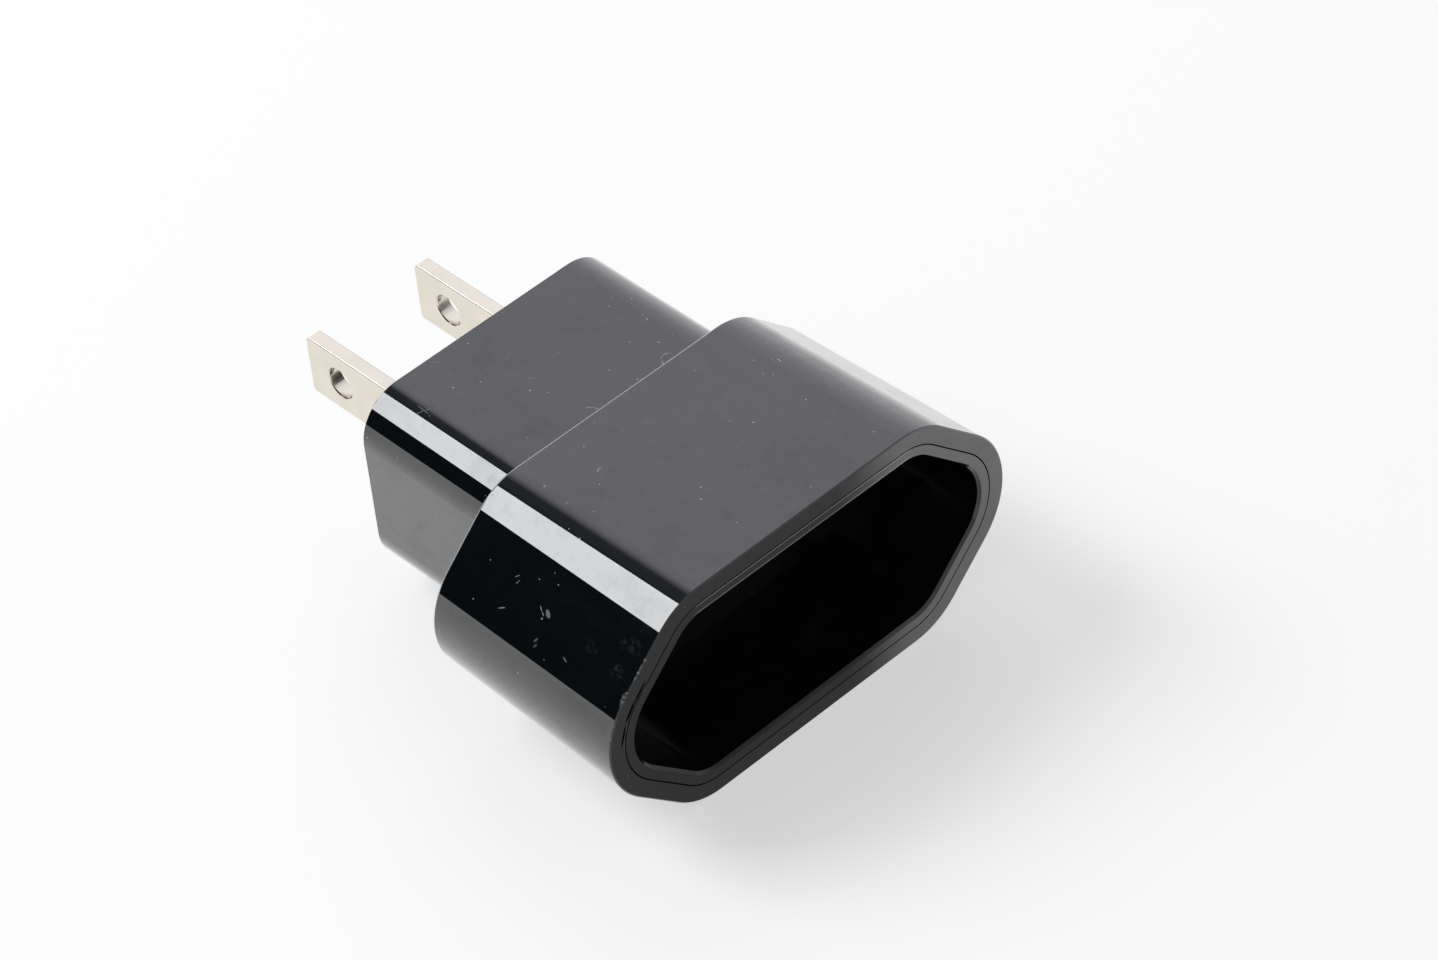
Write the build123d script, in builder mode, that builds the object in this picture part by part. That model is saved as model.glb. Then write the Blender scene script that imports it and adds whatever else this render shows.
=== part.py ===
from build123d import *

import os
from math import atan2, degrees, sin, tan

# Travel adapter: a two-pin round plug goes into the hexagonal socket, two flat blades go into the wall.
# Units are millimetres. The plug axis runs along Y: the socket opens towards -Y, the blades point to +Y.
# X runs from blade to blade, Z is up, and the widest end of the collar stands on z = 0.

os.makedirs("parts", exist_ok=True)

# Lengths along the plug axis
blade_reach = 16.2
neck_length = 17.0
collar_length = 22.2
end_wall = 2.0
step_wall = 1.8

# Neck: the small straight body that carries the blades
neck_width = 28.5
neck_height = 19.1
neck_corner_radius = 4.4
blade_face_edge_chamfer = 0.2

# Collar: the large six-sided body, measured at its step before its corners are rounded
collar_flat_width = 27.88
collar_point_width = 51.22
collar_height = 22.12
collar_shoulder_radius = 6.1
collar_side_radius = 7.6
collar_growth = 0.67
step_edge_radius = 0.25
rim_edge_chamfer = 0.12
shell_wall = 1.65

# Socket insert: the cup that takes the head of the plug
insert_seam = 0.12
insert_rim_wall = 1.15
insert_back_wall = 1.6
recess_depth = 12.0
recess_draft = 1.5
recess_edge_chamfer = 0.25
recess_floor = 2.0
pin_entry_radius = 2.2
pin_entry_flare = 0.9
guide_wall = 1.1
barrier_thickness = 1.4
barrier_height = 12.0

# Snap lugs on the insert and the pockets they drop into
lug_width = 5.0
lug_length = 2.0
lug_height = 0.5
lug_root = 0.3
lug_ramp = 0.35
lug_spacing = 16.0
lug_from_rim = 16.6
lug_clearance = 0.15

# Blades
blade_from_neck_side = 7.9
blade_thickness = 1.4
blade_width = 6.3
blade_edge_radius = 0.13
blade_tip_corner = 0.45
blade_tip_bevel = 0.12
blade_hole_radius = 1.5
blade_hole_from_face = 12.05
blade_hole_chamfer = 0.1
root_width = 8.6
root_length = 5.9
slot_clearance = 0.08

# Contact sleeves, rolled from strip around a 4 mm pin
strip_thickness = 0.4
sleeve_bore_radius = 2.05
sleeve_slit = 0.9
sleeve_end_gap = 0.3
sleeve_front_y = 3.2
tab_width = 4.8
tab_neck_width = 2.4
tab_neck_overlap = 1.4
tab_end_gap = 0.4
sleeve_clearance = 0.1

# Rivets that join each sleeve to its blade
rivet_radius = 1.2
rivet_head_radius = 1.95
rivet_head_height = 0.55
rivet_from_wall = 2.9
rivet_head_bevel = 0.2

# Carrier block around the blade roots and the sleeves
carrier_clearance = 0.1
carrier_core_wall = 1.5
carrier_core_height = 10.4
carrier_core_depth = 11.5
rivet_channel_clearance = 0.2

# How near to a level or a size an edge has to be to be picked by it
pick_tolerance = 0.01

# Positions that follow from the sizes above
overall_length = blade_reach + neck_length + collar_length
blade_tip_y = overall_length / 2
blade_face_y = blade_tip_y - blade_reach
step_y = blade_face_y - neck_length
rim_y = -overall_length / 2
end_wall_y = blade_face_y - end_wall
shoulder_y = step_y - step_wall
recess_floor_y = rim_y + recess_depth
floor_back_y = recess_floor_y + recess_floor
axis_z = collar_height / 2 + collar_growth
blade_x = neck_width / 2 - blade_from_neck_side
root_back_y = end_wall_y - root_length
rivet_y = end_wall_y - rivet_from_wall
blade_outer_x = blade_x + blade_thickness / 2
blade_inner_x = blade_x - blade_thickness / 2
tab_outer_x = blade_outer_x + strip_thickness
pin_x = tab_outer_x + sleeve_bore_radius
sleeve_radius = sleeve_bore_radius + strip_thickness
guide_bore_radius = sleeve_radius + sleeve_clearance
guide_radius = guide_bore_radius + guide_wall
sleeve_back_y = floor_back_y + sleeve_end_gap
collar_draft = degrees(atan2(collar_growth, collar_length))
insert_offset = collar_growth - shell_wall - insert_seam
pin_places = [(-pin_x, 0), (pin_x, 0)]
blade_places = [(-blade_x, 0), (blade_x, 0)]


def across(y):
    """Plane across the plug axis at y, facing the blades, with its own y direction up."""
    return Plane(origin=(0, y, axis_z), x_dir=(-1, 0, 0), z_dir=(0, 1, 0))


def beside(x):
    """Plane facing +X at x, level with the plug axis; its x direction runs towards the blades."""
    return Plane(origin=(x, 0, axis_z), x_dir=(0, 1, 0), z_dir=(1, 0, 0))


def collar_outline(growth):
    """Rounded six-sided outline, parallel to the collar's outline at its step and larger by growth."""
    half_height = collar_height / 2
    side_run = (collar_point_width - collar_flat_width) / 2
    side_angle = atan2(half_height, side_run)
    point_x = collar_point_width / 2 + growth / sin(side_angle)
    top = half_height + growth
    flat_x = point_x - top / tan(side_angle)
    half_outline = [(flat_x, top), (point_x, 0), (flat_x, -top)]
    corners = half_outline + [(-x, -y) for x, y in half_outline]
    with BuildSketch() as outline:
        Polygon(*corners, align=None)
        levels = outline.vertices().group_by(Axis.Y)
        fillet(levels[0] + levels[-1], collar_shoulder_radius + growth)
        side_points = outline.vertices().filter_by_position(Axis.Y, -top / 2, top / 2)
        fillet(side_points, collar_side_radius + growth)
    return outline.sketch


def drafted_block(growth, length, draft_angle):
    """Solid that starts at the rim with the collar's outline and narrows towards the blades."""
    with BuildPart() as block:
        with BuildSketch(across(rim_y)):
            add(collar_outline(growth))
        extrude(amount=length)
        sides = block.faces().filter_by(Axis.Y, reverse=True)
        draft(sides, neutral_plane=across(rim_y), angle=draft_angle)
    return block.part


def lug_places(rise):
    """Centres of the four snap lugs, two above and two below, for boxes standing out by rise."""
    wall_z = collar_height / 2 + insert_offset - collar_growth * lug_from_rim / collar_length
    centre_z = wall_z + (rise - lug_root) / 2
    heights = [axis_z + centre_z, axis_z - centre_z]
    return [(x, rim_y + lug_from_rim, z) for x in (-lug_spacing / 2, lug_spacing / 2) for z in heights]


# Drafted forms that the two mouldings are made from

collar_body = drafted_block(collar_growth, collar_length, collar_draft)
collar_hollow = drafted_block(collar_growth - shell_wall, shoulder_y - rim_y, collar_draft)
insert_body = drafted_block(insert_offset, shoulder_y - rim_y, collar_draft)
plug_recess = drafted_block(insert_offset - insert_rim_wall, recess_depth, recess_draft)


# Outer shell: one stepped moulding, closed at the blade end and open at the socket end

with BuildPart() as outer_shell:
    # Collar, wider at the rim than at the step
    add(collar_body)
    step_edges = outer_shell.faces().sort_by(Axis.Y)[-1].edges()
    fillet(step_edges, step_edge_radius)
    rim_edges = outer_shell.faces().sort_by(Axis.Y)[0].edges()
    chamfer(rim_edges, rim_edge_chamfer)

    # Neck
    with BuildSketch(across(step_y)):
        RectangleRounded(neck_width, neck_height, neck_corner_radius)
    extrude(amount=neck_length)
    blade_face_edges = outer_shell.faces().sort_by(Axis.Y)[-1].edges()
    chamfer(blade_face_edges, blade_face_edge_chamfer)

    # Hollow of the collar, up to the shoulder behind the step
    add(collar_hollow, mode=Mode.SUBTRACT)

    # Hollow of the neck, up to the end wall
    with BuildSketch(across(shoulder_y)):
        RectangleRounded(
            neck_width - 2 * shell_wall,
            neck_height - 2 * shell_wall,
            neck_corner_radius - shell_wall,
        )
    extrude(amount=end_wall_y - shoulder_y, mode=Mode.SUBTRACT)

    # Slots in the end wall for the two blades
    with BuildSketch(across(end_wall_y)):
        with Locations(*blade_places):
            Rectangle(blade_thickness + 2 * slot_clearance, blade_width + 2 * slot_clearance)
    extrude(amount=end_wall, mode=Mode.SUBTRACT)

    # Pockets inside the collar for the snap lugs
    pocket_rise = lug_height + lug_clearance
    with Locations(*lug_places(pocket_rise)):
        Box(
            lug_width + 2 * lug_clearance,
            lug_length + 2 * lug_clearance,
            pocket_rise + lug_root,
            mode=Mode.SUBTRACT,
        )

outer_shell.part.label = "outer_shell"
export_step(outer_shell.part, "parts/outer_shell.step")


# Socket insert: hexagonal cup with a floor, pin holes, sleeve guides behind them and four snap lugs

with BuildPart() as socket_insert:
    # Outside, a seam smaller than the hollow of the collar
    add(insert_body)

    # Recess for the head of the plug
    add(plug_recess, mode=Mode.SUBTRACT)
    mouth_edges = socket_insert.faces().sort_by(Axis.Y)[0].inner_wires()[0].edges()
    chamfer(mouth_edges, recess_edge_chamfer)

    # Hollow behind the floor
    with BuildSketch(across(floor_back_y)):
        add(collar_outline(insert_offset - insert_back_wall - insert_rim_wall / 2))
    extrude(amount=shoulder_y - floor_back_y, mode=Mode.SUBTRACT)

    # Guides around the contact sleeves, joined by an insulating barrier
    with BuildSketch(across(floor_back_y)):
        with Locations(*pin_places):
            Circle(guide_radius)
        Rectangle(2 * pin_x, barrier_thickness)
        Rectangle(barrier_thickness, barrier_height)
    extrude(amount=shoulder_y - floor_back_y)
    with BuildSketch(across(floor_back_y)):
        with Locations(*pin_places):
            Circle(guide_bore_radius)
    extrude(amount=shoulder_y - floor_back_y, mode=Mode.SUBTRACT)

    # Pin entries through the floor, flared on the plug side
    with BuildSketch(across(recess_floor_y)):
        with Locations(*pin_places):
            Circle(pin_entry_radius)
    extrude(amount=recess_floor, mode=Mode.SUBTRACT)
    arcs = socket_insert.edges().filter_by(GeomType.CIRCLE)
    floor_arcs = arcs.filter_by(lambda edge: abs(edge.arc_center.Y - recess_floor_y) < pick_tolerance)
    entry_edges = floor_arcs.filter_by(lambda edge: abs(edge.radius - pin_entry_radius) < pick_tolerance)
    chamfer(entry_edges, pin_entry_flare)

    # Snap lugs, ramped on the side that enters the shell first
    with Locations(*lug_places(lug_height)):
        Box(lug_width, lug_length, lug_height + lug_root)
    lug_front_y = rim_y + lug_from_rim + lug_length / 2
    level_edges = socket_insert.edges().filter_by(Axis.X)
    front_edges = level_edges.filter_by(lambda edge: abs(edge.center().Y - lug_front_y) < pick_tolerance)
    by_height = front_edges.group_by(Axis.Z)
    chamfer(by_height[0] + by_height[-1], lug_ramp)

socket_insert.part.label = "socket_insert"
export_step(socket_insert.part, "parts/socket_insert.step")


# Contact carrier: insulating block in the neck that holds the blade roots and the sleeves

with BuildPart() as contact_carrier:
    # Block, a little smaller than the hollow of the neck
    with BuildSketch(across(shoulder_y)):
        RectangleRounded(
            neck_width - 2 * (shell_wall + carrier_clearance),
            neck_height - 2 * (shell_wall + carrier_clearance),
            neck_corner_radius - shell_wall - carrier_clearance,
        )
    extrude(amount=end_wall_y - shoulder_y)

    # Bores for the sleeves
    with BuildSketch(across(shoulder_y)):
        with Locations(*pin_places):
            Circle(guide_bore_radius)
    extrude(amount=end_wall_y - shoulder_y, mode=Mode.SUBTRACT)

    # Slots for the blade roots
    with BuildSketch(across(root_back_y)):
        with Locations(*blade_places):
            Rectangle(blade_thickness + 2 * slot_clearance, root_width + 2 * slot_clearance)
    extrude(amount=root_length, mode=Mode.SUBTRACT)

    # Channels for the tabs and the rivet heads
    channel_inner_x = blade_inner_x - rivet_head_height - rivet_channel_clearance
    channel_width = tab_width + 2 * rivet_channel_clearance
    with BuildSketch(across(root_back_y)):
        with Locations(*[(side * (channel_inner_x + pin_x) / 2, 0) for side in (-1, 1)]):
            Rectangle(pin_x - channel_inner_x, channel_width)
    extrude(amount=root_length, mode=Mode.SUBTRACT)

    # Reliefs for the necks between the sleeves and their tabs
    with BuildSketch(across(sleeve_front_y - tab_neck_overlap - slot_clearance)):
        with Locations(*pin_places):
            Rectangle(2 * (pin_x - blade_outer_x + slot_clearance), tab_neck_width + 2 * slot_clearance)
    extrude(amount=root_back_y - sleeve_front_y + tab_neck_overlap + slot_clearance, mode=Mode.SUBTRACT)

    # Core taken out of the middle from the socket side
    with BuildSketch(across(shoulder_y)):
        Rectangle(2 * (channel_inner_x - carrier_core_wall), carrier_core_height)
    extrude(amount=carrier_core_depth, mode=Mode.SUBTRACT)

contact_carrier.part.label = "contact_carrier"
export_step(contact_carrier.part, "parts/contact_carrier.step")


# Blades: flat strips with a hole near the tip and wide roots that stop behind the end wall

with BuildPart() as right_blade:
    with BuildSketch(beside(blade_inner_x)):
        with Locations(((root_back_y + blade_tip_y) / 2, 0)):
            Rectangle(blade_tip_y - root_back_y, blade_width)
        with Locations(((root_back_y + end_wall_y) / 2, 0)):
            Rectangle(root_length, root_width)
        with Locations((blade_face_y + blade_hole_from_face, 0)):
            Circle(blade_hole_radius, mode=Mode.SUBTRACT)
        with Locations((rivet_y, 0)):
            Circle(rivet_radius, mode=Mode.SUBTRACT)
    extrude(amount=blade_thickness)

    # Tip corners, bevelled tip and eased long edges
    tip_corners = right_blade.faces().sort_by(Axis.Y)[-1].edges().filter_by(Axis.X)
    chamfer(tip_corners, blade_tip_corner)
    tip_edges = right_blade.faces().sort_by(Axis.Y)[-1].edges().filter_by(Axis.Z)
    chamfer(tip_edges, blade_tip_bevel)
    long_edges = right_blade.edges().filter_by(Axis.Y).filter_by(lambda edge: edge.length > root_length)
    fillet(long_edges, blade_edge_radius)

    # Countersunk rim of the hole near the tip
    hole_y = blade_face_y + blade_hole_from_face
    circles = right_blade.edges().filter_by(GeomType.CIRCLE)
    hole_edges = circles.filter_by(lambda edge: abs(edge.arc_center.Y - hole_y) < pick_tolerance)
    chamfer(hole_edges, blade_hole_chamfer)

right_blade.part.label = "right_blade"
export_step(right_blade.part, "parts/right_blade.step")

with BuildPart() as left_blade:
    mirror(right_blade.part, about=Plane.YZ)

left_blade.part.label = "left_blade"
export_step(left_blade.part, "parts/left_blade.step")


# Contact sleeves: slit tubes that grip the plug's pins, each with a flat tab lying on its blade

with BuildPart() as right_contact_sleeve:
    # Tube, with the slit on the side away from the middle
    with BuildSketch(across(sleeve_back_y)):
        with Locations((-pin_x, 0)):
            Circle(sleeve_radius)
            Circle(sleeve_bore_radius, mode=Mode.SUBTRACT)
        with Locations((-pin_x - sleeve_bore_radius, 0)):
            Rectangle(sleeve_bore_radius, sleeve_slit, mode=Mode.SUBTRACT)
    extrude(amount=sleeve_front_y - sleeve_back_y)

    # Tab and the narrow neck that joins it to the tube
    tab_front_y = end_wall_y - tab_end_gap
    neck_back_y = sleeve_front_y - tab_neck_overlap
    with BuildSketch(beside(blade_outer_x)):
        with Locations(((root_back_y + tab_front_y) / 2, 0)):
            Rectangle(tab_front_y - root_back_y, tab_width)
        with Locations(((neck_back_y + tab_front_y) / 2, 0)):
            Rectangle(tab_front_y - neck_back_y, tab_neck_width)
        with Locations((rivet_y, 0)):
            Circle(rivet_radius, mode=Mode.SUBTRACT)
    extrude(amount=strip_thickness)

right_contact_sleeve.part.label = "right_contact_sleeve"
export_step(right_contact_sleeve.part, "parts/right_contact_sleeve.step")

with BuildPart() as left_contact_sleeve:
    mirror(right_contact_sleeve.part, about=Plane.YZ)

left_contact_sleeve.part.label = "left_contact_sleeve"
export_step(left_contact_sleeve.part, "parts/left_contact_sleeve.step")


# Rivets: shank through the tab and the blade root, a bevelled head on each side

with BuildPart() as right_rivet:
    with BuildSketch(beside(blade_inner_x)):
        with Locations((rivet_y, 0)):
            Circle(rivet_radius)
    extrude(amount=tab_outer_x - blade_inner_x)
    for head_x, height in ((blade_inner_x, -rivet_head_height), (tab_outer_x, rivet_head_height)):
        with BuildSketch(beside(head_x)):
            with Locations((rivet_y, 0)):
                Circle(rivet_head_radius)
        extrude(amount=height)
    head_faces = right_rivet.faces().filter_by(Axis.X).sort_by(Axis.X)
    chamfer(head_faces[0].edges() + head_faces[-1].edges(), rivet_head_bevel)

right_rivet.part.label = "right_rivet"
export_step(right_rivet.part, "parts/right_rivet.step")

with BuildPart() as left_rivet:
    mirror(right_rivet.part, about=Plane.YZ)

left_rivet.part.label = "left_rivet"
export_step(left_rivet.part, "parts/left_rivet.step")
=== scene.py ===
from math import cos, pi, radians, sin, sqrt
from random import Random

import bpy
from mathutils import Matrix, Vector


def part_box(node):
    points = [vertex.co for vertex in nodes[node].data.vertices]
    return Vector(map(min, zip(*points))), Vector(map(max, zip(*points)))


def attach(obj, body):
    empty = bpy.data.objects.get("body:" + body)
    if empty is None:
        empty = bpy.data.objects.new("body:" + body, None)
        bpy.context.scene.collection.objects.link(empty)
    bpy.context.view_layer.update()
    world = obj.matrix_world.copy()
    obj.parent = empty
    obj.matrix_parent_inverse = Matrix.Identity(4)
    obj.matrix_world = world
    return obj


bl_info = {
    "name": "Travel adapter",
    "version": (1, 0, 0),
    "blender": (4, 5, 0),
    "location": "3D View > Sidebar > Adapter",
    "description": "Finishes a two-blade travel adapter and sets it on a pale studio floor",
    "category": "Material",
}

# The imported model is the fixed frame; its box is kept before anything is added
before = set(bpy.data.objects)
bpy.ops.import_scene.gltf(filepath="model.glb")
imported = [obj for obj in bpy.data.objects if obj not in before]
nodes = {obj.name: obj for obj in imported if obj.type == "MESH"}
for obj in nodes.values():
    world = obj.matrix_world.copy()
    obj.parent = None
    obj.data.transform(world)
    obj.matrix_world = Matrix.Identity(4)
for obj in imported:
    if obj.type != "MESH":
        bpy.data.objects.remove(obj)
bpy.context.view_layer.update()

MM = 0.001
PHOTO_WIDTH = 1438
SENSOR_WIDTH = 36.0
LAMP_DISTANCE = 1.4

# Marks of wear on the outer shell, in millimetres: start, end, width and strength of each
WEAR_MARKS = [
    # Lint caught at the step, and a hooked hair beside it on the collar
    ((-1.65, -3.3, 21.28), (-1.1, -3.75, 21.28), 0.09, 0.8),
    ((-1.2, -3.6, 21.28), (-0.95, -4.5, 21.28), 0.08, 0.7),
    ((-7.5, -11.3, 22.97), (-7.03, -10.98, 22.96), 0.1, 0.9),
    ((-7.1, -11.0, 22.96), (-6.8, -11.12, 22.96), 0.09, 0.8),
    ((-11.95, -12.0, 22.99), (-11.45, -12.17, 22.99), 0.09, 0.5),
    # Curled hair at the step, and a stroke near it
    ((7.94, -3.92, 21.28), (7.68, -3.62, 21.28), 0.08, 0.5),
    ((7.78, -3.68, 21.28), (7.36, -3.47, 21.28), 0.09, 0.75),
    ((7.46, -3.5, 21.28), (7.04, -3.46, 21.28), 0.09, 0.65),
    ((7.14, -3.45, 21.28), (6.78, -3.62, 21.28), 0.09, 0.5),
    ((6.87, -3.54, 21.28), (6.62, -3.98, 21.28), 0.08, 0.4),
    ((6.62, -3.95, 21.28), (6.46, -4.35, 21.28), 0.12, 0.8),
    ((8.09, -1.84, 21.28), (8.17, -2.15, 21.28), 0.12, 0.8),
    # Stroke and specks on the far right of the collar's top, and faint ones further left
    ((12.06, -12.44, 22.98), (11.96, -13.12, 23.0), 0.13, 1.0),
    ((10.6, -11.12, 22.96), (10.64, -11.28, 22.96), 0.14, 0.6),
    ((11.62, -12.18, 22.98), (11.66, -12.3, 22.98), 0.13, 0.6),
    ((9.9, -12.9, 23.02), (9.96, -13.06, 23.02), 0.13, 0.7),
    ((10.36, -13.64, 23.04), (10.4, -13.8, 23.04), 0.13, 0.7),
    ((-2.5, -8.93, 22.89), (-2.54, -9.02, 22.9), 0.1, 0.35),
    ((-2.7, -9.13, 22.9), (-2.74, -9.22, 22.9), 0.1, 0.35),
    ((-2.06, -8.84, 22.89), (-2.14, -8.94, 22.89), 0.14, 0.22),
    ((-1.12, -9.33, 22.91), (-0.12, -10.54, 22.94), 0.08, 0.12),
    # Fine scratches on the top of the neck
    ((-6.51, 11.04, 21.28), (-5.84, 10.26, 21.28), 0.07, 0.3),
    ((-2.33, 3.15, 21.28), (-1.94, 2.7, 21.28), 0.07, 0.35),
    ((-1.95, 6.45, 21.28), (-1.67, 6.13, 21.28), 0.07, 0.3),
    # Oval mark, strokes and a curl on the slanted side
    ((-18.6, -16.5, 18.85), (-19.0, -17.3, 18.47), 0.5, 0.28),
    ((-18.62, -15.78, 18.79), (-18.92, -16.3, 18.52), 0.1, 0.55),
    ((-18.88, -16.22, 18.55), (-19.06, -16.68, 18.4), 0.1, 0.55),
    ((-19.2, -16.48, 18.26), (-19.27, -16.66, 18.2), 0.15, 0.9),
    ((-20.18, -12.0, 17.15), (-19.85, -12.8, 17.49), 0.14, 0.42),
    ((-21.1, -18.2, 16.53), (-21.0, -18.66, 16.65), 0.1, 0.5),
    ((-21.0, -18.6, 16.64), (-21.15, -18.85, 16.51), 0.1, 0.5),
    ((-21.12, -18.85, 16.53), (-21.33, -18.52, 16.33), 0.1, 0.45),
    ((-20.44, -20.15, 17.24), (-20.66, -20.98, 17.06), 0.14, 0.45),
    ((-18.04, -12.1, 19.18), (-17.73, -12.55, 19.49), 0.1, 0.35),
    ((-18.36, -12.54, 18.9), (-17.98, -12.78, 19.26), 0.1, 0.4),
    ((-20.72, -16.86, 16.84), (-20.32, -17.18, 17.23), 0.3, 0.18),
    ((-21.09, -16.96, 16.49), (-20.65, -17.37, 16.92), 0.35, 0.15),
    # Two hairs crossed near the blades, and one on the side of the neck
    ((-10.7, 7.9, 21.2), (-10.8, 6.0, 21.18), 0.1, 0.35),
    ((-11.45, 7.2, 20.99), (-10.75, 6.8, 21.19), 0.1, 0.35),
    ((-10.85, 6.84, 21.17), (-10.15, 6.42, 21.27), 0.1, 0.35),
    ((-14.25, 1.4, 16.13), (-14.25, 0.28, 17.43), 0.09, 0.4),
]

# Hazy patches on the slanted side, in the same terms
HAZE_PATCHES = [
    ((-19.53, -25.0, 18.31), (-19.5, -26.6, 18.4), 1.6, 0.04),
    ((-17.9, -24.2, 19.95), (-17.6, -27.2, 20.25), 1.5, 0.035),
    ((-18.8, -21.3, 18.86), (-19.25, -23.3, 18.46), 1.3, 0.025),
]

# Light specks along the rim's edge, the stretch of the seam that has opened, whose gap is painted black as
# shade, and its lips, in the same terms
RIM_MARKS = [
    ((-17.85, -27.64, 19.96), (-18.1, -27.64, 19.73), 0.24, 0.6),
    ((-18.2, -27.64, 19.64), (-18.75, -27.64, 19.12), 0.2, 0.3),
    ((-18.7, -27.64, 19.16), (-18.95, -27.64, 18.93), 0.26, 0.6),
    ((-19.0, -27.64, 18.88), (-19.4, -27.64, 18.5), 0.2, 0.35),
    ((-21.93, -27.64, 15.42), (-22.04, -27.64, 15.16), 0.22, 0.5),
    ((-22.4, -27.64, 14.4), (-22.5, -27.64, 14.05), 0.22, 0.45),
    ((-21.3, -27.7, 9.2), (-21.2, -27.7, 9.0), 0.16, 0.6),
]
SEAM_GAP = [
    ((-18.0, -27.7, 18.0), (-19.9, -27.7, 16.0), 0.34, 1.0),
    ((-19.4, -27.7, 16.7), (-20.95, -27.7, 14.6), 0.4, 1.0),
    ((-20.7, -27.7, 15.0), (-21.6, -27.7, 12.3), 0.3, 1.0),
]
SEAM_LIPS = [
    ((-18.17, -27.7, 17.18), (-18.77, -27.7, 16.43), 0.1, 0.35),
    ((-20.37, -27.7, 14.71), (-21.05, -27.7, 13.71), 0.09, 0.35),
    ((-21.1, -27.7, 13.5), (-21.27, -27.7, 11.53), 0.08, 0.22),
]

# Where along the rim, from left to right, its polish begins to rise and is full; the painted shade on its
# end, a dark reflection painted on the left, fades out over the same stretch
RIM_SHADE_FADE_AND_POLISH_RISE = (3.0, 12.0)

# The ragged burr on the left of the rim, where the collar's side is rounded; its ends are in degrees from
# upright
RIM_SIDE_RADIUS = 8.25
BURR_START = 42.5
BURR_END = 51.5
BURR_STATIONS = 15
BURR_SEED = 4

# Levels and edges, from the nodes themselves
shell_low, shell_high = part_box("outer_shell")
rim_y = shell_low[1]
rim_left = shell_low[0]
rim_middle = (shell_low[2] + shell_high[2]) / 2
neck_end_y = shell_high[1]
insert_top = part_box("socket_insert")[1][2] / MM


class Signal:
    """A socket that takes part in sums: an expression on signals adds its Math nodes."""

    def __init__(self, sheet, socket):
        self.sheet = sheet
        self.socket = socket

    def _math(self, operation, *values):
        inputs = dict(enumerate(values))
        return self.sheet.node("ShaderNodeMath", {"operation": operation}, inputs)

    def __add__(self, other):
        return self._math("ADD", self, other)

    __radd__ = __add__

    def __sub__(self, other):
        return self._math("SUBTRACT", self, other)

    def __rsub__(self, other):
        return self._math("SUBTRACT", other, self)

    def __mul__(self, other):
        return self._math("MULTIPLY", self, other)

    __rmul__ = __mul__

    def __truediv__(self, other):
        return self._math("DIVIDE", self, other)

    def __abs__(self):
        return self._math("ABSOLUTE", self)

    def clamped(self):
        return self._math("MINIMUM", self._math("MAXIMUM", self, 0.0), 1.0)

    def either(self, other):
        return self._math("MAXIMUM", self, other)

    def angle_to(self, other):
        return self._math("ARCTAN2", self, other)

    def rise(self, start, end):
        """Smooth step from 0 at start to 1 at end; falls where start is the larger."""
        low, high, bottom, top = (start, end, 0.0, 1.0) if start < end else (end, start, 1.0, 0.0)
        settings = {"interpolation_type": "SMOOTHSTEP"}
        inputs = {"Value": self, "From Min": low, "From Max": high, "To Min": bottom, "To Max": top}
        return self.sheet.node("ShaderNodeMapRange", settings, inputs)


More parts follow.
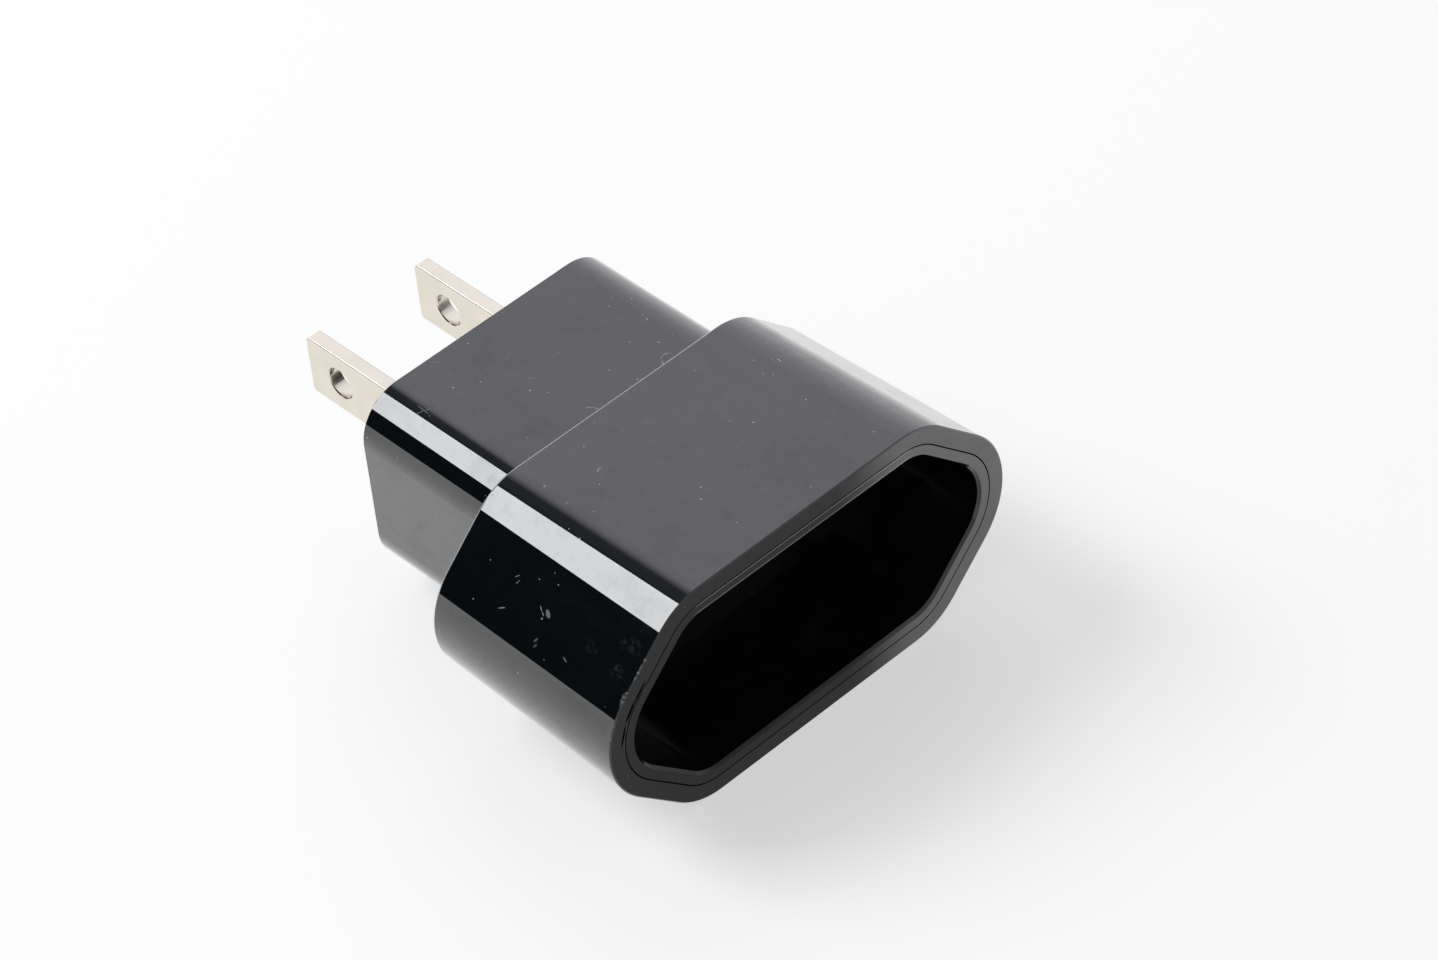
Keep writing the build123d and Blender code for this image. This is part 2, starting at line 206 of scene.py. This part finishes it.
class Sheet:
    """The node tree of one finish, of the floor or of the world."""

    def __init__(self, tree):
        self.tree = tree
        self.tree.nodes.clear()

    def node(self, kind, settings=None, inputs=None, output=0):
        """Adds a node: its settings first, then values or links for its sockets."""
        node = self.tree.nodes.new(kind)
        for name, value in (settings or {}).items():
            setattr(node, name, value)
        for name, value in (inputs or {}).items():
            socket = self.find(node.inputs, name)
            if isinstance(value, Signal):
                self.tree.links.new(value.socket, socket)
            else:
                socket.default_value = value
        return Signal(self, self.find(node.outputs, output)) if node.outputs else None

    def find(self, sockets, name):
        if isinstance(name, int):
            return sockets[name]
        for socket in sockets:
            if socket.enabled and name in (socket.identifier, socket.name):
                return socket
        raise KeyError(f"{self.tree.name} has no socket {name}")

    def place(self, stretch=(1.0, 1.0, 1.0), turn=(0.0, 0.0, 0.0)):
        """The point on the surface in millimetres, turned by degrees and then stretched along each axis."""
        point = self.node("ShaderNodeTexCoord", None, None, "Object")
        inputs = {"Vector": point, "Scale": [1 / MM] * 3, "Rotation": [radians(angle) for angle in turn]}
        turned = self.node("ShaderNodeMapping", {"vector_type": "POINT"}, inputs)
        return self.node("ShaderNodeVectorMath", {"operation": "MULTIPLY"}, {0: turned, 1: stretch})

    def noise(self, place, size, detail=2.0, roughness=0.5, distortion=0.0):
        """Cloudy noise about size millimetres across, 0 to 1."""
        inputs = {"Vector": place, "Scale": 1 / size, "Detail": detail}
        inputs.update({"Roughness": roughness, "Distortion": distortion})
        return self.node("ShaderNodeTexNoise", None, inputs)

    def cells(self, place, size, output):
        """Scattered cells about size millimetres across."""
        inputs = {"Vector": place, "Scale": 1 / size, "Randomness": 1.0}
        return self.node("ShaderNodeTexVoronoi", {"feature": "F1"}, inputs, output)

    def part_of(self, vector, axis):
        return self.node("ShaderNodeSeparateXYZ", None, {"Vector": vector}, axis)

    def facing(self, axis):
        """How far the surface faces along that axis, -1 to 1."""
        return self.part_of(self.node("ShaderNodeTexCoord", None, None, "Normal"), axis)

    def ray(self, kind):
        """1 for rays of that kind, such as those that the camera sees directly."""
        return self.node("ShaderNodeLightPath", None, None, kind)

    def bump(self, height, depth, strength=1.0):
        """Normals of a relief whose full height is depth, in metres."""
        return self.node("ShaderNodeBump", None, {"Height": height, "Distance": depth, "Strength": strength})

    def surface(self, inputs):
        return self.node("ShaderNodeBsdfPrincipled", None, inputs)

    def blend(self, mask, low, high):
        """Colour mixed from low to high by the mask."""
        inputs = {"Factor_Float": mask, "A_Color": low, "B_Color": high}
        return self.node("ShaderNodeMix", {"data_type": "RGBA"}, inputs, "Result_Color")

    def dust(self, place, spacing, radius, share, shift=0.0):
        """Scattered specks: one cell in so many holds a speck of up to that radius, in millimetres."""
        offset = (shift, 2 * shift, -shift)
        moved = self.node("ShaderNodeVectorMath", {"operation": "ADD"}, {0: place, 1: offset})
        distance = self.cells(moved, spacing, "Distance") * spacing
        tint = self.cells(moved, spacing, "Color")
        chance = self.part_of(tint, "X").rise(1 - share - 0.01, 1 - share)
        size = self.part_of(tint, "Y") * radius + 0.25 * radius
        return (1 - distance / size).rise(0.0, 0.45) * chance

    def mark(self, place, start, end, width):
        """Slim mark from start to end, in millimetres, full in the middle and fading to its rim."""
        first, last = Vector(start), Vector(end)
        span = last - first
        turned = Vector((1.0, 0.0, 0.0)).rotation_difference(span).to_euler()
        inputs = {"Vector": place, "Location": (first + last) / 2, "Rotation": turned}
        inputs["Scale"] = (span.length / 2, width / 2, width / 2)
        local = self.node("ShaderNodeMapping", {"vector_type": "TEXTURE"}, inputs)
        reach = self.node("ShaderNodeVectorMath", {"operation": "LENGTH"}, {0: local}, "Value")
        return reach.rise(1.0, 0.6)

    def marks(self, place, table):
        """All the marks of a table of starts, ends, widths and strengths."""
        found = 0.0
        for start, end, width, strength in table:
            found = (strength * self.mark(place, start, end, width)).either(found)
        return found

    def opened_seam(self, place):
        """The light lips of the opened seam, and its gap between them, which is painted black as shade."""
        lips = self.marks(place, SEAM_LIPS)
        return lips, self.marks(place, SEAM_GAP) * (1 - 3 * lips).clamped()

    def unshaded_right_end(self, place):
        """Full at the right end of the rim, which is the better polished one and bears no painted shade, and
        none on the left.
        """
        return self.part_of(place, "X").rise(*RIM_SHADE_FADE_AND_POLISH_RISE)

    def with_painted_shade(self, shader, gap):
        """The shader, with painted shade: black as the shade in a deep crack where gap is 1."""
        dark = self.node("ShaderNodeBsdfDiffuse", None, {"Color": (0.001, 0.001, 0.0012, 1.0)})
        return self.node("ShaderNodeMixShader", None, {0: gap, 1: shader, 2: dark})

    def finish_with(self, shader):
        self.node("ShaderNodeOutputMaterial", None, {"Surface": shader})


def new_finish(name):
    material = bpy.data.materials.new(name)
    material.use_nodes = True
    return material, Sheet(material.node_tree)


def dress(node_names, material):
    """Gives the CAD nodes their finish; their shapes stay as they are."""
    for name in node_names:
        node = nodes[name]
        if not node.material_slots:
            node.data.materials.append(material)
        for slot in node.material_slots:
            slot.material = material


def colour(socket_colour):
    return (*socket_colour, 1.0)


class AdapterPlastic(bpy.types.PropertyGroup):
    """Colours and surface of the mouldings"""

    shell_colour: bpy.props.FloatVectorProperty(
        name="Shell colour",
        description="Colour of the polished black outer shell",
        default=(0.0024, 0.0038, 0.0052),
        subtype="COLOR",
        min=0.0,
        max=1.0,
    )
    shell_roughness: bpy.props.FloatProperty(
        name="Shell roughness",
        description="Roughness of the polished shell",
        default=0.035,
        min=0.0,
        max=1.0,
    )
    insert_colour: bpy.props.FloatVectorProperty(
        name="Insert colour",
        description="Colour of the socket insert",
        default=(0.0035, 0.0042, 0.0052),
        subtype="COLOR",
        min=0.0,
        max=1.0,
    )
    insert_roughness: bpy.props.FloatProperty(
        name="Insert roughness",
        description="Roughness of the socket insert",
        default=0.12,
        min=0.0,
        max=1.0,
    )
    carrier_colour: bpy.props.FloatVectorProperty(
        name="Carrier colour",
        description="Colour of the matt block inside the neck",
        default=(0.03, 0.03, 0.032),
        subtype="COLOR",
        min=0.0,
        max=1.0,
    )
    dust_colour: bpy.props.FloatVectorProperty(
        name="Dust colour",
        description="Colour of the dust specks and lint on the black plastic",
        default=(0.52, 0.54, 0.56),
        subtype="COLOR",
        min=0.0,
        max=1.0,
    )
    dust_amount: bpy.props.FloatProperty(
        name="Dust amount",
        description="How much dust lies on the black plastic, from none to a lot",
        default=1.0,
        min=0.0,
        max=2.0,
    )
    ripple_height: bpy.props.FloatProperty(
        name="Ripple height",
        description="Depth of the soft waves in the moulded walls",
        default=0.0012 * MM,
        min=0.0,
        max=0.01 * MM,
        precision=7,
        unit="LENGTH",
    )
    burr_height: bpy.props.FloatProperty(
        name="Burr height",
        description="Height of the ragged burr on the rim's edge",
        default=0.4 * MM,
        min=0.05 * MM,
        max=1.0 * MM,
        precision=5,
        unit="LENGTH",
    )


class AdapterMetal(bpy.types.PropertyGroup):
    """Colours and surface of the metal pieces"""

    blade_colour: bpy.props.FloatVectorProperty(
        name="Blade colour",
        description="Colour of the nickel plating on the blades",
        default=(0.80, 0.742, 0.645),
        subtype="COLOR",
        min=0.0,
        max=1.0,
    )
    blade_roughness: bpy.props.FloatProperty(
        name="Blade roughness",
        description="Roughness of the plated blades",
        default=0.2,
        min=0.0,
        max=1.0,
    )
    sleeve_colour: bpy.props.FloatVectorProperty(
        name="Sleeve colour",
        description="Colour of the bronze strip of the contact sleeves",
        default=(0.62, 0.36, 0.17),
        subtype="COLOR",
        min=0.0,
        max=1.0,
    )
    rivet_colour: bpy.props.FloatVectorProperty(
        name="Rivet colour",
        description="Colour of the brass rivets",
        default=(0.68, 0.50, 0.22),
        subtype="COLOR",
        min=0.0,
        max=1.0,
    )


class AdapterStage(bpy.types.PropertyGroup):
    """Floor, lamps and camera"""

    floor_colour: bpy.props.FloatVectorProperty(
        name="Floor colour",
        description="Colour of the pale floor",
        default=(0.6, 0.6, 0.6),
        subtype="COLOR",
        min=0.0,
        max=1.0,
    )
    floor_glow: bpy.props.FloatProperty(
        name="Floor glow",
        description="Light that the floor adds for the camera and for reflections, so that it reads white",
        default=0.55,
        min=0.0,
        max=1.0,
    )
    floor_size: bpy.props.FloatProperty(
        name="Floor size",
        description="Side of the square floor",
        default=4.0,
        min=0.5,
        unit="LENGTH",
    )
    window_level: bpy.props.FloatProperty(
        name="Window lamp",
        description="Brightness of the lamp whose image lies along the left shoulders",
        default=7.0,
        min=0.0,
    )
    softbox_level: bpy.props.FloatProperty(
        name="Softbox",
        description="Brightness of the large softbox behind on the right",
        default=1.1,
        min=0.0,
    )
    window_colour: bpy.props.FloatVectorProperty(
        name="Window colour",
        description="Colour of the window lamp",
        default=(0.97, 0.985, 1.0),
        subtype="COLOR",
        min=0.0,
        max=1.0,
    )
    wall_colour: bpy.props.FloatVectorProperty(
        name="Wall colour",
        description="Colour of the pale wall that the polished faces mirror",
        default=(0.94, 0.94, 1.0),
        subtype="COLOR",
        min=0.0,
        max=1.0,
    )
    wall_level: bpy.props.FloatProperty(
        name="Mirrored wall",
        description="Brightness of the pale wall that the polished faces mirror",
        default=1.14,
        min=0.0,
    )
    fill_level: bpy.props.FloatProperty(
        name="Fill",
        description="Brightness of the even light from all round",
        default=0.22,
        min=0.0,
    )
    camera_azimuth: bpy.props.FloatProperty(
        name="Camera azimuth",
        description="Direction of the camera round the adapter",
        default=radians(-39.926),
        subtype="ANGLE",
    )
    camera_elevation: bpy.props.FloatProperty(
        name="Camera elevation",
        description="Height of the camera above the level of the adapter",
        default=radians(42.881),
        subtype="ANGLE",
    )
    camera_roll: bpy.props.FloatProperty(
        name="Camera roll",
        description="Tilt of the camera about its own line of sight",
        default=radians(-6.060),
        subtype="ANGLE",
    )
    camera_distance: bpy.props.FloatProperty(
        name="Camera distance",
        description="Distance from the camera to the point it looks at",
        default=0.48137,
        min=0.1,
        unit="LENGTH",
    )
    camera_target: bpy.props.FloatVectorProperty(
        name="Camera target",
        description="Point that lies in the middle of the picture",
        default=(0.0118815, neck_end_y - 0.015, 0.003568),
        subtype="TRANSLATION",
        unit="LENGTH",
    )
    focal_pixels: bpy.props.FloatProperty(
        name="Focal length",
        description="Focal length in pixels of a picture 1438 wide",
        default=5539.77,
        min=100.0,
    )


class ADAPTER_OT_shell(bpy.types.Operator):
    """Finish the outer shell as polished black plastic with dust and lint"""

    bl_idname = "adapter.shell"
    bl_label = "Outer shell"

    def execute(self, context):
        plastic = context.scene.adapter_plastic
        material, sheet = new_finish("polished_black_plastic")
        place = sheet.place()

        # Dust of two sizes, short scratches lying two ways, and the single marks
        specks = sheet.dust(place, 1.0, 0.085, 0.5).either(sheet.dust(place, 2.6, 0.11, 0.3, shift=13.0))
        for turn, shift in ((25.0, 4.0), (-50.0, 9.0)):
            strokes = sheet.dust(sheet.place((1.0, 0.1, 1.0), (0.0, 20.0, turn)), 3.4, 0.07, 0.3, shift)
            specks = specks.either(0.35 * strokes)
        specks = specks.either(sheet.marks(place, WEAR_MARKS + RIM_MARKS)) * plastic.dust_amount

        mottle = sheet.noise(place, 0.4, detail=4.0, roughness=0.65).rise(0.42, 0.7)
        specks = specks.either(sheet.marks(place, HAZE_PATCHES) * mottle)

        # Handling film that takes a little of the gloss away in patches
        film = sheet.noise(place, 7.0, detail=4.0, roughness=0.6, distortion=0.6).rise(0.48, 0.75)
        smear = sheet.noise(sheet.place((1.0, 0.35, 1.0)), 2.2, detail=5.0, roughness=0.65).rise(0.5, 0.8)
        smudge = sheet.noise(place, 0.9, detail=4.0, roughness=0.6).rise(0.52, 0.75)
        haze = film * 0.4 + smear * 0.3 + smudge * 0.3

        # The end of the collar is less polished than its sides, save on the right, and dark where the seam
        # has opened. Its darkness is painted shade: a dark reflection painted on the end, fading out towards
        # the right, and the seam's gap painted black as shade
        facing = sheet.facing("Y")
        lips, gap = sheet.opened_seam(place)
        specks = specks.either(lips)
        dull_and_shaded_end = facing.rise(-0.6, -0.85) * (1 - sheet.unshaded_right_end(place))
        polish = 1 - 0.9 * dull_and_shaded_end

        # Painted highlight: a light line painted where the moulding turns at its step
        turn = facing.rise(0.08, 0.25) * facing.rise(0.72, 0.55)
        dust_and_painted_highlight = 0.7 * turn

        black = colour(plastic.shell_colour)
        hazy = colour([channel * 2.4 for channel in plastic.shell_colour])
        body = sheet.blend(haze, black, hazy)
        base = sheet.blend(specks.either(dust_and_painted_highlight).clamped(), body, colour(plastic.dust_colour))
        roughness = (plastic.shell_roughness + haze * 0.03 + (1 - polish) * 0.2 + specks * 0.6).clamped()

        # Long soft waves of the moulding
        waves = sheet.noise(sheet.place((1.0, 0.5, 1.0)), 6.0, detail=1.0)
        inputs = {
            "Base Color": base,
            "Roughness": roughness,
            "Normal": sheet.bump(waves, plastic.ripple_height),
            "IOR": 1.4,
            "Coat Weight": polish * (1 - 0.9 * specks.clamped()) * (1 - 0.42 * haze),
            "Coat Roughness": 0.02,
            "Coat IOR": 1.675,
        }
        # Painted shade: black in the opened seam's gap, and in part over the dull end as a painted dark
        # reflection
        sheet.finish_with(sheet.with_painted_shade(sheet.surface(inputs), gap.either(0.3 * dull_and_shaded_end)))
        dress(["outer_shell"], material)
        return {"FINISHED"}


class ADAPTER_OT_insert(bpy.types.Operator):
    """Finish the socket insert as moulded black plastic"""

    bl_idname = "adapter.insert"
    bl_label = "Socket insert"

    def execute(self, context):
        plastic = context.scene.adapter_plastic
        material, sheet = new_finish("moulded_black_plastic")
        place = sheet.place()
        specks = sheet.dust(place, 2.6, 0.05, 0.4, shift=5.0) * plastic.dust_amount
        haze = sheet.noise(place, 3.0, detail=5.0, roughness=0.6).rise(0.4, 0.75)
        black = colour(plastic.insert_colour)
        hazy = colour([channel * 2.0 for channel in plastic.insert_colour])
        lips, gap = sheet.opened_seam(place)

        # Painted highlights along the upper edges of the seam and of the mouth, where light would catch
        # them; dust and the seam's lips join them
        behind_rim = sheet.part_of(place, "Y") - rim_y / MM
        front = sheet.facing("Y").rise(-0.6, -0.85) * behind_rim.rise(1.0, 0.5)
        below_top = insert_top - sheet.part_of(place, "Z")
        middle = abs(sheet.part_of(place, "X")).rise(12.6, 11.8)
        seam_edge = below_top.rise(0.16, 0.1)
        mouth_edge = below_top.rise(0.74, 0.8) * below_top.rise(0.92, 0.86) * middle
        dust_and_painted_highlight = specks.either(lips).either(0.8 * front * seam_edge.either(mouth_edge)).clamped()
        base = sheet.blend(dust_and_painted_highlight, sheet.blend(haze, black, hazy), colour(plastic.dust_colour))
        roughness = (plastic.insert_roughness + haze * 0.12 + specks * 0.6).clamped()
        grain = sheet.noise(place, 0.25, detail=2.0)
        unshaded_right_end = sheet.unshaded_right_end(place)
        inputs = {
            "Base Color": base,
            "Roughness": roughness,
            "Normal": sheet.bump(grain, 0.002 * MM, 0.6),
            "IOR": 1.42,
            "Coat Weight": front * unshaded_right_end,
            "Coat Roughness": 0.03,
            "Coat IOR": 1.65,
        }
        # Painted shade: black in the opened seam's gap, and on the rim's end away from its right end as a
        # painted dark reflection
        dark = gap.either(0.3 * front * (1 - unshaded_right_end))
        sheet.finish_with(sheet.with_painted_shade(sheet.surface(inputs), dark))
        dress(["socket_insert"], material)
        return {"FINISHED"}


class ADAPTER_OT_burr(bpy.types.Operator):
    """Raise the small ragged burr on the left edge of the collar's rim"""

    bl_idname = "adapter.burr"
    bl_label = "Rim burr"

    def execute(self, context):
        plastic = context.scene.adapter_plastic
        mesh = bpy.data.meshes.new("rim_burr")
        mesh.from_pydata(*self.ragged_ridge(plastic.burr_height))
        burr = bpy.data.objects.new("rim_burr", mesh)
        context.scene.collection.objects.link(burr)

        # Torn plastic turns pale along its crest
        material, sheet = new_finish("torn_black_plastic")
        tears = sheet.noise(sheet.place(), 0.16, detail=3.0, roughness=0.6)
        black = colour([channel * 3.0 for channel in plastic.shell_colour])
        inputs = {
            "Base Color": sheet.blend(0.75 * tears.rise(0.46, 0.62), black, colour(plastic.dust_colour)),
            "Roughness": 0.35 + 0.3 * tears,
            "Normal": sheet.bump(tears, 0.02 * MM, 0.6),
        }
        sheet.finish_with(sheet.surface(inputs))
        mesh.materials.append(material)
        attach(burr, "root")
        return {"FINISHED"}

    def ragged_ridge(self, height):
        """Points and faces of a three-sided ridge that follows the rounded edge of the rim."""
        chance = Random(BURR_SEED)
        radius = RIM_SIDE_RADIUS * MM
        points = []
        for station in range(BURR_STATIONS):
            share = station / (BURR_STATIONS - 1)
            angle = radians(BURR_START + share * (BURR_END - BURR_START))
            crest = height * sin(pi * sqrt(share)) * chance.uniform(0.65, 1.15)
            lean = chance.uniform(0.05, 0.2) * MM
            for out, back in ((-0.1 * MM, 0.02 * MM), (crest, lean), (-0.1 * MM, 0.35 * MM)):
                across = rim_left + radius - (radius + out) * sin(angle)
                points.append((across, rim_y + back, rim_middle + (radius + out) * cos(angle)))
        faces = [(2, 1, 0)]
        for first in range(0, len(points) - 3, 3):
            for corner in range(3):
                following = (corner + 1) % 3
                faces.append((first + corner, first + following, first + following + 3, first + corner + 3))
        faces.append((len(points) - 3, len(points) - 2, len(points) - 1))
        return points, [], faces


class ADAPTER_OT_carrier(bpy.types.Operator):
    """Finish the contact carrier as matt dark plastic"""

    bl_idname = "adapter.carrier"
    bl_label = "Contact carrier"

    def execute(self, context):
        plastic = context.scene.adapter_plastic
        material, sheet = new_finish("matt_dark_plastic")
        place = sheet.place()
        mottle = sheet.noise(place, 1.6, detail=4.0)
        dark = colour(plastic.carrier_colour)
        light = colour([channel * 1.7 for channel in plastic.carrier_colour])
        grain = sheet.noise(place, 0.12, detail=3.0)
        inputs = {
            "Base Color": sheet.blend(mottle, dark, light),
            "Roughness": 0.5 + 0.2 * mottle,
            "Normal": sheet.bump(grain, 0.01 * MM, 0.7),
            "IOR": 1.5,
        }
        sheet.finish_with(sheet.surface(inputs))
        dress(["contact_carrier"], material)
        return {"FINISHED"}


class ADAPTER_OT_blades(bpy.types.Operator):
    """Finish the two blades as satin nickel plate"""

    bl_idname = "adapter.blades"
    bl_label = "Blades"

    def execute(self, context):
        metal = context.scene.adapter_metal
        material, sheet = new_finish("satin_nickel_plate")
        place = sheet.place()

        # Rolling grain along the blade, plating clouds and a few small pits
        grain = sheet.noise(sheet.place((6.0, 0.25, 6.0)), 0.5, detail=4.0, roughness=0.6)
        clouds = sheet.noise(place, 2.4, detail=4.0, roughness=0.55)
        pits = sheet.dust(place, 1.6, 0.06, 0.25, shift=3.0)
        nickel = metal.blade_colour
        dull = [channel * 0.955 for channel in nickel]
        pit = [channel * 0.45 for channel in nickel]
        plate = sheet.blend(clouds.rise(0.35, 0.7), colour(nickel), colour(dull))
        base = sheet.blend(pits.clamped() * 0.7, plate, colour(pit))

        # The rounded long edges are painted darker than the faces, painted shade that tones down the lamp's
        # bright glint on them
        rounded = abs(sheet.facing("X") * sheet.facing("Z")).rise(0.08, 0.3)
        base = sheet.blend(0.5 * rounded, base, colour([channel * 0.1 for channel in nickel]))
        roughness = metal.blade_roughness + (clouds - 0.5) * 0.14 + (grain - 0.5) * 0.08
        height = grain * 0.6 + clouds * 0.4 - pits
        normal = sheet.bump(height, 0.003 * MM, 0.3)
        inputs = {"Base Color": base, "Metallic": 1.0, "Roughness": roughness.clamped(), "Normal": normal}
        sheet.finish_with(sheet.surface(inputs))
        dress(["left_blade", "right_blade"], material)
        return {"FINISHED"}


class ADAPTER_OT_contacts(bpy.types.Operator):
    """Finish the contact sleeves as bronze strip and the rivets as brass"""

    bl_idname = "adapter.contacts"
    bl_label = "Contact sleeves and rivets"

    def execute(self, context):
        metal = context.scene.adapter_metal
        finishes = [
            ("bronze_strip", metal.sleeve_colour, 0.32, ["left_contact_sleeve", "right_contact_sleeve"]),
            ("brass_rivet", metal.rivet_colour, 0.26, ["left_rivet", "right_rivet"]),
        ]
        for name, bright, level, node_names in finishes:
            material, sheet = new_finish(name)
            place = sheet.place()
            tarnish = sheet.noise(place, 1.8, detail=5.0, roughness=0.6).rise(0.45, 0.8)
            grain = sheet.noise(sheet.place((1.0, 0.1, 1.0)), 0.12, detail=3.0)
            dull = [channel * 0.55 for channel in bright]
            inputs = {
                "Base Color": sheet.blend(tarnish * 0.8, colour(bright), colour(dull)),
                "Metallic": 1.0,
                "Roughness": level + 0.22 * tarnish,
                "Normal": sheet.bump(grain, 0.002 * MM, 0.5),
            }
            sheet.finish_with(sheet.surface(inputs))
            dress(node_names, material)
        return {"FINISHED"}


def add_lamp(name, azimuth, elevation, width, height, radiance):
    """Flat lamp that faces the adapter; azimuth runs from +Y towards +X, all angles in degrees."""
    turn, rise = radians(azimuth), radians(elevation)
    towards = Vector((sin(turn) * cos(rise), cos(turn) * cos(rise), sin(rise)))
    lamp_data = bpy.data.lights.new(name, "AREA")
    lamp_data.shape = "RECTANGLE"
    lamp_data.size = width
    lamp_data.size_y = height
    lamp_data.energy = radiance * pi * width * height
    lamp = bpy.data.objects.new(name, lamp_data)
    middle = Vector((0.0, (rim_y + neck_end_y) / 2, rim_middle))
    lamp.location = middle + towards * LAMP_DISTANCE
    lamp.rotation_euler = towards.to_track_quat("Z", "Y").to_euler()
    lamp.visible_camera = False
    bpy.context.scene.collection.objects.link(lamp)
    return lamp


class ADAPTER_OT_stage(bpy.types.Operator):
    """Set up the pale floor, the studio light and the camera"""

    bl_idname = "adapter.stage"
    bl_label = "Stage"

    def execute(self, context):
        stage = context.scene.adapter_stage
        self.make_floor(stage)
        self.make_world(context, stage)
        self.make_lamps(stage)
        self.make_camera(context, stage)
        context.scene.view_settings.view_transform = "Standard"
        return {"FINISHED"}

    def make_floor(self, stage):
        half = stage.floor_size / 2
        mesh = bpy.data.meshes.new("floor")
        corners = [(-half, -half, 0.0), (half, -half, 0.0), (half, half, 0.0), (-half, half, 0.0)]
        mesh.from_pydata(corners, [], [(0, 1, 2, 3)])
        floor = bpy.data.objects.new("floor", mesh)
        bpy.context.scene.collection.objects.link(floor)
        material, sheet = new_finish("pale_floor")
        seen = sheet.ray("Is Camera Ray")
        for kind in ("Is Glossy Ray", "Is Transmission Ray"):
            seen = seen.either(sheet.ray(kind))
        inputs = {"Color": colour(stage.floor_colour), "Roughness": 0.0}
        matt = sheet.node("ShaderNodeBsdfDiffuse", None, inputs)
        inputs = {"Color": (1.0, 1.0, 1.0, 1.0), "Strength": seen * stage.floor_glow}
        glow = sheet.node("ShaderNodeEmission", None, inputs)
        sheet.finish_with(sheet.node("ShaderNodeAddShader", None, {0: matt, 1: glow}))
        mesh.materials.append(material)

    def make_world(self, context, stage):
        world = bpy.data.worlds.new("studio")
        world.use_nodes = True
        context.scene.world = world
        sheet = Sheet(world.node_tree)
        seen = sheet.ray("Is Camera Ray").either(sheet.ray("Is Transmission Ray"))
        mirrored = sheet.ray("Is Glossy Ray")
        direction = sheet.node("ShaderNodeTexCoord", None, None, "Generated")
        across = sheet.part_of(direction, "X")
        along = sheet.part_of(direction, "Y")
        height = sheet.part_of(direction, "Z")

        # Mirrored surroundings: a pale wall from behind round to the right, darkness on the left; azimuth
        # is in radians, 0 straight behind and positive on the right
        darkest = 0.012
        ceiling_level = 0.35
        azimuth = across.angle_to(along)
        lit_right = azimuth.rise(0.157, 0.541) * (1 - 0.4 * azimuth.rise(1.9, 2.8))
        lit_front = 0.6 * azimuth.rise(-1.5, -2.4)
        dim_gap = 0.13 * azimuth.rise(-0.3, 0.0)
        around = (lit_right + lit_front).either(dim_gap).either(darkest)
        overhead = height.rise(0.9, 0.97)
        wall = stage.wall_level * (around * (1 - overhead) + ceiling_level * overhead)
        level = mirrored * wall + (1 - mirrored) * (1 - seen) * stage.fill_level + seen
        tint = sheet.blend(mirrored, (1.0, 1.0, 1.0, 1.0), colour(stage.wall_colour))
        inputs = {"Color": tint, "Strength": level}
        background = sheet.node("ShaderNodeBackground", None, inputs)
        sheet.node("ShaderNodeOutputWorld", None, {"Surface": background})

    def make_lamps(self, stage):
        window = add_lamp("window_lamp", -33.8, 44.0, width=0.742, height=0.728, radiance=stage.window_level)
        window.data.color = stage.window_colour
        softbox = add_lamp("softbox", 42.0, 40.0, width=0.95, height=1.0, radiance=stage.softbox_level)
        softbox.visible_glossy = False

    def make_camera(self, context, stage):
        turn, rise, roll = stage.camera_azimuth, stage.camera_elevation, stage.camera_roll
        back = Vector((sin(turn) * cos(rise), -cos(turn) * cos(rise), sin(rise)))
        level = Vector((cos(turn), sin(turn), 0.0))
        upright = back.cross(level)
        right = cos(roll) * level + sin(roll) * upright
        up = cos(roll) * upright - sin(roll) * level
        camera_data = bpy.data.cameras.new("camera")
        camera_data.sensor_fit = "HORIZONTAL"
        camera_data.sensor_width = SENSOR_WIDTH
        camera_data.lens = stage.focal_pixels / PHOTO_WIDTH * SENSOR_WIDTH
        camera_data.clip_start = 0.01
        camera_data.clip_end = 20.0
        camera = bpy.data.objects.new("camera", camera_data)
        turned = Matrix((right, up, back)).transposed().to_4x4()
        target = Vector(stage.camera_target)
        camera.matrix_world = Matrix.Translation(target + back * stage.camera_distance) @ turned
        context.scene.collection.objects.link(camera)
        context.scene.camera = camera


class ADAPTER_PT_panel(bpy.types.Panel):
    """Travel adapter: finishes and stage"""

    bl_idname = "ADAPTER_PT_panel"
    bl_label = "Travel adapter"
    bl_space_type = "VIEW_3D"
    bl_region_type = "UI"
    bl_category = "Adapter"

    def draw(self, context):
        layout = self.layout
        for group_name in GROUPS:
            group = getattr(context.scene, group_name)
            box = layout.box()
            for name in group.__annotations__:
                box.prop(group, name)
        for operator in OPERATORS:
            layout.operator(operator.bl_idname)


GROUPS = {
    "adapter_plastic": AdapterPlastic,
    "adapter_metal": AdapterMetal,
    "adapter_stage": AdapterStage,
}
OPERATORS = [
    ADAPTER_OT_shell,
    ADAPTER_OT_insert,
    ADAPTER_OT_burr,
    ADAPTER_OT_carrier,
    ADAPTER_OT_blades,
    ADAPTER_OT_contacts,
    ADAPTER_OT_stage,
]


def register():
    for name, group in GROUPS.items():
        bpy.utils.register_class(group)
        setattr(bpy.types.Scene, name, bpy.props.PointerProperty(type=group))
    for operator in OPERATORS:
        bpy.utils.register_class(operator)
    bpy.utils.register_class(ADAPTER_PT_panel)


def unregister():
    bpy.utils.unregister_class(ADAPTER_PT_panel)
    for operator in reversed(OPERATORS):
        bpy.utils.unregister_class(operator)
    for name, group in GROUPS.items():
        delattr(bpy.types.Scene, name)
        bpy.utils.unregister_class(group)


def main():
    register()
    bpy.ops.adapter.shell()
    bpy.ops.adapter.insert()
    bpy.ops.adapter.burr()
    bpy.ops.adapter.carrier()
    bpy.ops.adapter.blades()
    bpy.ops.adapter.contacts()
    bpy.ops.adapter.stage()


if __name__ == "__main__":
    main()
